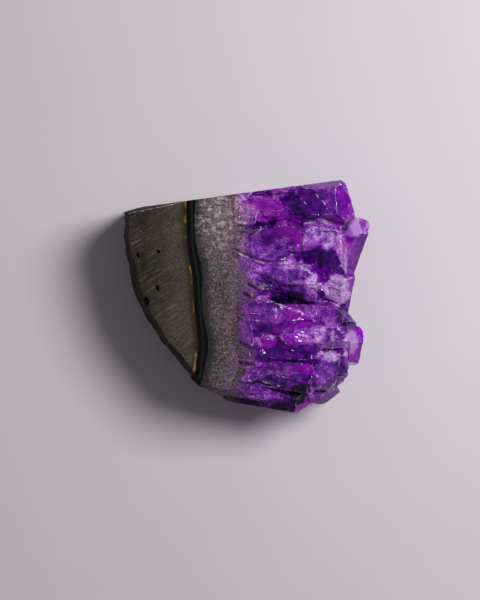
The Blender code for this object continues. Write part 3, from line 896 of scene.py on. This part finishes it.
# Pale lines: most are milky sutures, some are painted highlights, marked below.
SUTURES_AND_GLINT_LINES = [
    (0.45, [(9.2, 8.4), (14.2, 7.6), (16.8, 5.8), (19.4, 3.2)]),
    (0.35, [(-1.0, 10.6), (2.2, 9.2), (6.2, 8.0), (10.0, 7.8)]),
    # Painted highlight along the ridge of the fourth crystal.
    (0.35, [(6.4, -1.2), (11.0, -2.8), (15.2, -4.4)]),
    (0.50, [(22.6, -7.4), (22.2, -10.4), (22.4, -13.2)]),
    (0.35, [(-0.8, -20.8), (3.8, -21.2), (8.8, -22.6)]),
    (0.40, [(24.6, 17.0), (24.8, 12.6), (24.6, 7.4)]),
    # Painted sparkle along the glittering edge of the sixth crystal.
    (0.60, [(19.0, -13.8), (22.0, -14.2), (25.4, -14.6)]),
    # Three short painted glints on the back block.
    (0.20, [(18.2, 25.4), (18.9, 24.4)]),
    (0.20, [(19.8, 23.8), (20.5, 22.8)]),
    (0.20, [(14.6, 24.3), (15.6, 23.0)]),
    (0.45, [(-2.4, 18.4), (0.6, 18.0)]),
    (0.35, [(15.4, 18.2), (19.4, 19.0), (22.6, 18.0)]),
    (0.35, [(16.6, -23.2), (19.2, -22.8), (22.4, -23.0)]),
]
SEAM_DEPTH = 0.55


def away_from_line(q, points):
    """How far a place is from a line through the points, seen from above."""
    nearest = 1e9
    for first, second in zip(points, points[1:]):
        ax, ay = first
        bx, by = second[0] - ax, second[1] - ay
        along = ((q.x - ax) * bx + (q.y - ay) * by) / (bx * bx + by * by)
        along = min(max(along, 0.0), 1.0)
        nearest = min(nearest, math.hypot(q.x - ax - along * bx, q.y - ay - along * by))
    return nearest


def seam_at(q, lines):
    """1 on one of the lines, falling to 0 at its half width and a little beyond."""
    wobble = 0.35 * wave(q, 1.3) + 0.15 * wave(q, 0.5)
    best = 0.0
    for width, points in lines:
        best = max(best, 1 - max(0.0, away_from_line(q, points) + wobble * 0.6) / (width * 1.7))
    return best


print("grooves:", len(GROOVES), "sutures:", len(SUTURES_AND_GLINT_LINES))


# %% [markdown]
# ## Amethyst: relief
# Clean facets stay flat but for faint growth hillocks. Broken places are cut by sharp little
# steps and grains. Edges are chipped here and there. Sculpting could do this, but the same
# recipe in code comes out the same each time. As on the stone, all relief is cut inwards, and
# the bottom stays flat.

# %% Relief of the crystals
def broken_depth(place):
    """Shells, steps and grains of a broken surface, longer along X, in metres."""
    q = place / MM
    shells = abs(wave(Vector((q.x / 3.0, q.y / 1.6, q.z / 1.6)), 1.0, (3, 3, 0)))
    steps = abs(wave(Vector((q.x / 1.5, q.y / 0.9, q.z / 0.9)), 1.0, (1, 6, 2)))
    grains = abs(wave(q, 0.62))
    return (0.10 + 1.3 * shells + 1.0 * steps + 0.45 * grains) * MM


def facet_depth(place, number):
    """Low hillocks, other ones on each facet, in metres."""
    q = place / MM
    hillocks = 0.5 + 0.5 * wave(q, 2.6, (number * 3.7, 0, 0))
    return 0.035 * hillocks * MM


def chip_depth(place):
    """Chips along a sharp edge, with whole stretches between them, in metres."""
    q = place / MM
    here = max(0.0, wave(q, 1.6, (5, 9, 1)) - 0.05)
    return (0.03 + 0.9 * here) * MM


SHARP_COS = math.cos(math.radians(20))
CHIPPED_ANGLE = 0.35
SMALL_FACET = 2.5e-6
SMALL_FROST = 0.45
LOOK_FADE = 3.0
FAR_END = 25.0
SEEN_UP = 0.2
BARE_FROST = 0.3


def work_crystals(bm, facet, facets):
    """Cuts the relief of the crystals, and stores their looks for the finish."""
    joint = bm.faces.layers.int["joint"]
    bm.verts.index_update()
    moves, looks = {}, {}
    for vert in bm.verts:
        outer = [f for f in vert.link_faces if not f[joint]]
        if not outer:
            continue
        numbers = {f[facet] for f in outer}
        way = sum((f.normal * f.calc_area() for f in outer), Vector())
        area, facing = max((facets[n] for n in numbers), key=lambda each: each[0])
        q = to_plan(vert.co)
        (tone, frost, magenta), strength = looks_at(q)
        strength *= min(max((q.z - LOOK_DEPTH) / LOOK_FADE + (q.x > FAR_END), 0), 1)
        own = numbered(min(numbers))
        tone = strength * tone + (1 - strength) * (0.15 + 0.55 * own)
        frost = strength * frost + (1 - strength) * (0.25 + 0.3 * (own > 0.8))
        magenta = strength * magenta + (1 - strength) * numbered(own)
        if facing.z > BROKEN_COS:
            frost = min(1.0, frost + 0.2)
        if facing.dot(SAWN_WAYS["back_of_crystals"]) > SAWN_COS:
            frost, tone = 0.42, 0.30 + 0.5 * wave(q, 3.5)
        if area < SMALL_FACET:
            frost = max(frost, SMALL_FROST)
        seen = 1.0 if q.z > LOOK_DEPTH and facing.z > SEEN_UP else 0.0
        groove, suture = seen * seam_at(q, GROOVES), seen * seam_at(q, SUTURES_AND_GLINT_LINES)
        looks[vert.index] = (tone, frost, magenta, 0.0, groove, suture)
        if any(f.normal.dot(SAWN_WAYS["bottom"]) > SAWN_COS for f in outer) or way.length == 0:
            continue
        if len(numbers) > 1:
            sharp = min(f.normal.dot(outer[0].normal) for f in outer) < SHARP_COS
            depth = chip_depth(vert.co) if sharp else facet_depth(vert.co, 0)
            bent = [e for e in vert.link_edges if e.calc_face_angle(0) > CHIPPED_ANGLE]
            # A sharp convex edge gets the pale line of chips and painted highlight.
            if sharp and any(e.is_convex for e in bent):
                looks[vert.index] = (tone, frost, magenta, 1.0, groove, suture)
        else:
            depth = facet_depth(vert.co, min(numbers))
        depth += broken_depth(vert.co) * max(0.0, frost - BARE_FROST)
        depth += groove * SEAM_DEPTH * MM
        moves[vert] = -way.normalized() * depth
    for vert, move in moves.items():
        vert.co += move
    hidden = (*UNLISTED, 0.0, 0.0, 0.0)
    for column, name in enumerate(("tone", "frost", "magenta", "edge", "groove", "suture")):
        store(bm, name, lambda vert: looks.get(vert.index, hidden)[column])


# %% [markdown]
# ## Amethyst: finish
# Clear quartz is glass-like with a refractive index of 1.55. Its violet comes from light
# lost on the way through, so the colour is mostly absorption inside the solid: thin tips stay
# pale over the light floor and thick parts go dark. Part of the light also comes back from
# veils and fine cracks, so the clear surface isn't fully see-through, and it mirrors the
# plain sky less than real crystal would, because the facets in the photograph are darker.
# One surface with a changing roughness could do for all, but where the crystal is frosted or
# broken its colour changes too, so a second, rough surface takes over by a mask.

# %% Amethyst finish
AMETHYST_STOPS = [
    (0.00, (0.006, 0.0004, 0.018)),
    (0.22, (0.052, 0.0012, 0.180)),
    (0.45, (0.165, 0.008, 0.365)),
    (0.68, (0.330, 0.034, 0.570)),
    (1.00, (0.640, 0.370, 0.820)),
]
AMETHYST_TONES = {
    "magenta": (0.38, 0.020, 0.40),
    "milk": (0.085, 0.042, 0.080),
    "milk at the back": (0.62, 0.34, 0.56),
    "grain in the milk": (0.055, 0.018, 0.065),
    "dark frost": (0.125, 0.007, 0.215),
    "pale frost": (0.60, 0.44, 0.62),
    "fleck": (0.70, 0.50, 0.72),
    "pit": (0.026, 0.0010, 0.055),
    "grey": (0.105, 0.075, 0.085),
    "grey at the back": (0.33, 0.25, 0.27),
    "grain in the grey": (0.016, 0.010, 0.013),
    "glint_and_grain_cells": (0.80, 0.68, 0.84),
    "chipped and highlighted edge": (0.66, 0.54, 0.70),
    "suture": (0.68, 0.56, 0.66),
    "groove": (0.012, 0.0012, 0.022),
}
ABSORPTION = {"Color": (0.62, 0.10, 0.82, 1), "Density": 60.0}
INDEX = 1.55


def amethyst_finish():
    gem, tones = Finish("amethyst_finish"), AMETHYST_TONES
    tone = gem.stored("tone")
    frost = gem.stored("frost")
    magenta = gem.stored("magenta")
    own = gem.stored("facet")
    quartz = gem.stored("from_quartz")
    cloud = gem.grain(3.2, 3.0, 0.6)
    fine = gem.grain(0.42, 4.0, 0.75)
    glint_and_grain_cells = gem.cells(0.55)
    veins = gem.node(
        "ShaderNodeTexNoise",
        {"noise_type": "RIDGED_MULTIFRACTAL", "normalize": True},
        {"Vector": gem.place, "Scale": 1 / (4.0 * MM), "Detail": 3.0},
        "Fac",
    )
    blotch = gem.grain(1.5, 3.0, 0.6)
    level = tone + (own - 0.5) * 0.24 + (cloud - 0.5) * 0.65 + (blotch - 0.5) * 1.1
    violet = gem.node("ShaderNodeValToRGB", {"stops": AMETHYST_STOPS}, {0: level}, "Color")
    body = gem.mix(magenta * level.span(0.2, 0.6) * 0.6, violet, tones["magenta"])

    patch = gem.grain(5.0, 3.0, 0.65)
    root = (quartz + (patch - 0.5) * 11.0).span(5.6, 0.8)
    back = gem.along(1).span(-0.008, 0.024)
    milk = gem.mix(back, tones["milk"], tones["milk at the back"])
    milk = gem.mix(fine.span(0.62, 0.40), milk, tones["grain in the milk"])
    pale = gem.mix(level.span(0.35, 1.05), tones["dark frost"], tones["pale frost"])
    frosted = gem.mix(fine.span(0.47, 0.66) * level.span(0.0, 0.35), body, pale)
    flecks = gem.grain(0.32, 3.0, 0.8).span(0.58, 0.66) * blotch.span(0.42, 0.58)
    frosted = gem.mix(flecks * frost.span(0.1, 0.6) * 0.8, frosted, tones["fleck"])
    pits = gem.grain(0.5, 3.0, 0.75).span(0.47, 0.38)
    frosted = gem.mix(pits * 0.75, frosted, tones["pit"])
    frosted = gem.mix(root * 0.8, frosted, milk)
    grey = gem.mix(back * 0.6, tones["grey"], tones["grey at the back"])
    grey = gem.mix(fine.span(0.58, 0.42), grey, tones["grain in the grey"])
    frosted = gem.mix((quartz + (patch - 0.5) * 7.0).span(2.6, 0.2), frosted, grey)
    # Painted glints: small bright specks at the middles of the cells.
    painted_glint = glint_and_grain_cells.span(0.17, 0.05) * level.span(0.1, 0.7)
    frosted = gem.mix(painted_glint * 0.7, frosted, tones["glint_and_grain_cells"])

    # Pale line on sharp convex edges: partly chips, partly a painted highlight along the ridges.
    edge = gem.stored("edge").span(0.50, 0.95) * gem.grain(1.4).span(0.42, 0.60)
    frosted = gem.mix(edge * 0.75, frosted, tones["chipped and highlighted edge"])
    # Pale sutures, and painted highlights and glints, along the listed lines.
    suture = gem.stored("suture").span(0.40, 0.95) * gem.grain(0.8, 3.0, 0.7).span(0.40, 0.58)
    frosted = gem.mix(suture * 0.65, frosted, tones["suture"])
    # Painted shade: the grooves are painted nearly black.
    groove = gem.stored("groove").span(0.30, 0.95)
    frosted = gem.mix(groove * 0.75, frosted, tones["groove"])
    uneven = (fine - 0.5) * 0.9 + (cloud - 0.5) * 0.5
    mask = (edge * 0.5 + suture + frost + uneven + root * 0.7).span(0.30, 0.62)
    faint = gem.bump(cloud * 0.6 + veins * 0.25, 0.16, 0.5)
    rough = gem.bump(fine * 0.8 + glint_and_grain_cells * 0.5, 0.30, 1.0)
    clear = gem.surface(
        Base_Color=gem.shift(body, 1.12, 1.6),
        Roughness=fine.span(0.35, 0.75, 0.04, 0.16),
        IOR=INDEX,
        Specular_IOR_Level=0.3,
        Transmission_Weight=0.62,
        Normal=faint,
    )
    broken = gem.surface(
        Base_Color=frosted,
        Roughness=fine.span(0.3, 0.7, 0.22, 0.5),
        Specular_IOR_Level=0.18,
        IOR=INDEX,
        Normal=rough,
    )
    absorb = gem.node("ShaderNodeVolumeAbsorption", {}, ABSORPTION)
    return gem.done(gem.blend(mask, clear, broken), absorb)


def finer_on_top(face):
    """Faces that look up get a finer mesh, because the photograph shows them best."""
    return 0.55 if face.normal.z > 0.6 else 1.0


bm = copy_solid("amethyst_crystals", ["quartz_band"])
facet, facets = number_facets(bm)
refine(bm, longest=0.8 * MM, share=finer_on_top)
distances(bm, "from_quartz", "quartz_band")
work_crystals(bm, facet, facets)
own_number = bm.faces.layers.float.new("facet")
for face in bm.faces:
    face[own_number] = numbered(face[facet] + 5)
CRYSTAL_EDGE = math.radians(24)
gem = amethyst_finish()
name, node = "amethyst_crystal_druse", "amethyst_crystals"
amethyst = make_piece(bm, name, node, gem, CRYSTAL_EDGE)

# %% [markdown]
# ## Ochre grains
# Small rusty grains sit in a groove between two crystals, and a few more lie on their tops.
# They could be spots of colour, but they catch the light as lumps do. Each is a little ball,
# turned, flattened and roughened by noise, pressed partly into the surface that is found by
# looking straight down on the crystals.

# %% Ochre grains
# Place on the plan and spread in millimetres, and how many.
GRAIN_SPOTS = [
    (4.9, 1.9, 0.7, 9),
    (4.3, 2.8, 0.4, 4),
    (2.0, 0.2, 0.3, 3),
    (-2.4, 0.3, 0.15, 1),
    (5.0, -1.0, 0.3, 2),
]
GRAIN_RADII = (0.18, 0.42)
GRAIN_FORM = (1.0, 0.75, 0.7)
LIFTED = 0.1
DROP_LEVEL = 40.0
ABOUT_A_TURN = 6.28
OCHRE_TONES = (0.075, 0.050, 0.020), (0.36, 0.27, 0.14)


def ochre_finish():
    ochre = Finish("ochre_finish")
    fine = ochre.grain(0.3, 3.0, 0.7)
    colour = ochre.mix(fine.span(0.35, 0.65), *OCHRE_TONES)
    relief = ochre.bump(fine, 0.1, 0.8)
    roughness = fine.span(0.3, 0.7, 0.45, 0.8)
    return ochre.done(ochre.surface(Base_Color=colour, Roughness=roughness, Normal=relief))


def make_grains():
    chance = random.Random(11)
    below = BVHTree.FromObject(amethyst, bpy.context.evaluated_depsgraph_get())
    grains = bmesh.new()
    for x, y, spread, count in GRAIN_SPOTS:
        for _ in range(count):
            along, across = chance.gauss(0, spread * 0.6), chance.gauss(0, spread)
            start = on_plan(x + along, y + across, DROP_LEVEL)
            ground = below.ray_cast(start, Vector((0, 0, -1)))[0]
            size = chance.uniform(*GRAIN_RADII) * MM
            lump = bmesh.ops.create_icosphere(grains, subdivisions=2, radius=size)["verts"]
            for vert in lump:
                vert.co *= 1 + 0.45 * noise.noise(vert.co / size + start / MM)
            turn = Matrix.Rotation(chance.uniform(0, ABOUT_A_TURN), 3, "Z")
            bmesh.ops.rotate(grains, verts=lump, matrix=turn)
            bmesh.ops.scale(grains, verts=lump, vec=GRAIN_FORM)
            bmesh.ops.translate(grains, verts=lump, vec=ground + Vector((0, 0, LIFTED * size)))
            for vert in lump:
                vert.co.z = min(vert.co.z, cad_box[1][2])
    mesh = bpy.data.meshes.new("ochre_grains")
    grains.to_mesh(mesh)
    grains.free()
    mesh.materials.append(ochre_finish())
    piece = bpy.data.objects.new("ochre_grains", mesh)
    bpy.context.scene.collection.objects.link(piece)
    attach(piece, "root")
    print("grain triangles:", len(mesh.polygons))


bpy.context.view_layer.update()
make_grains()
